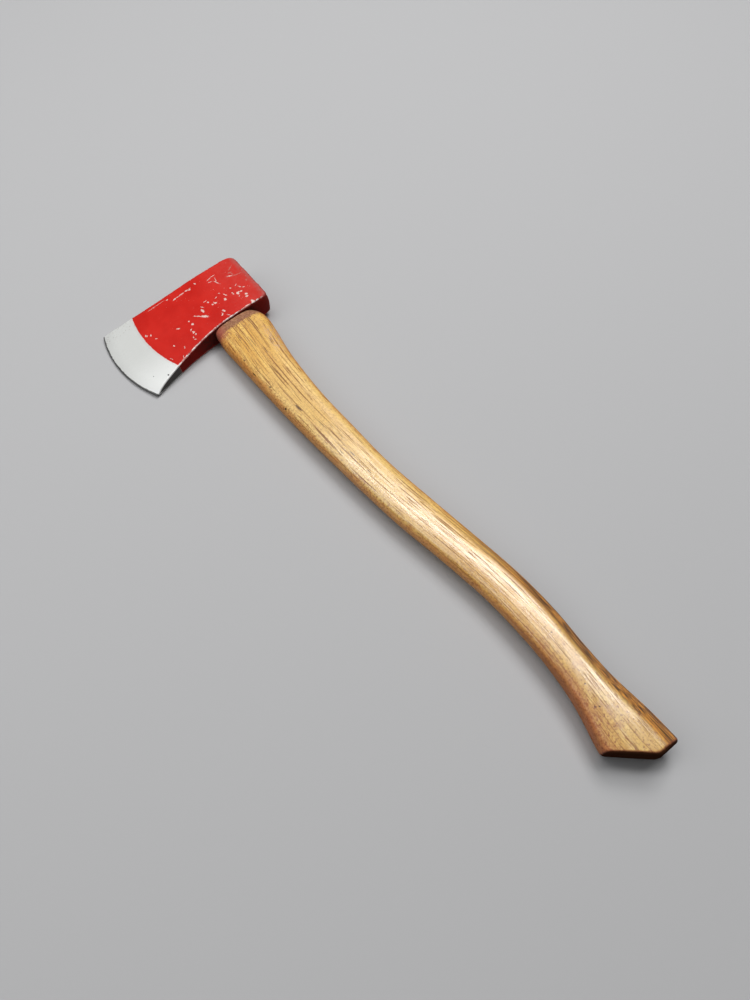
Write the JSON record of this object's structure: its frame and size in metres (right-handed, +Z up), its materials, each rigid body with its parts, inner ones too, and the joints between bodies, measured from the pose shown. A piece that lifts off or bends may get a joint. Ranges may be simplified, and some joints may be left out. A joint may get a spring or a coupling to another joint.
{
  "type": "fire axe",
  "caption": "Short single-bit fire axe with a red enamelled head, a bare silver cutting edge and a curved varnished hickory haft, lying on its side.",
  "frame": {"origin": "on the resting surface, under the middle of the axe's length and width as it lies on its side, rolled a little on to the flat taper of its lower cheek", "axes": "+X along the haft from the knob to the head's crown, +Y from the poll to the cutting edge along the resting surface, +Z up"},
  "size_m": [0.6208, 0.1626, 0.0315],
  "materials": {
    "head_enamel": "satin red enamel, chipped, with a bare silver bit along the cutting edge",
    "haft_hickory": "gloss amber varnish over hickory, darker along the sides and ends",
    "wedge_wood": "raw end grain",
    "wedge_steel": "dull mild steel"
  },
  "bodies": {
    "root": {"axe_head": "head_enamel", "haft": "haft_hickory", "eye_wedge": "wedge_wood", "steel_wedge_front": "wedge_steel", "steel_wedge_rear": "wedge_steel"}
  },
  "joints": []
}
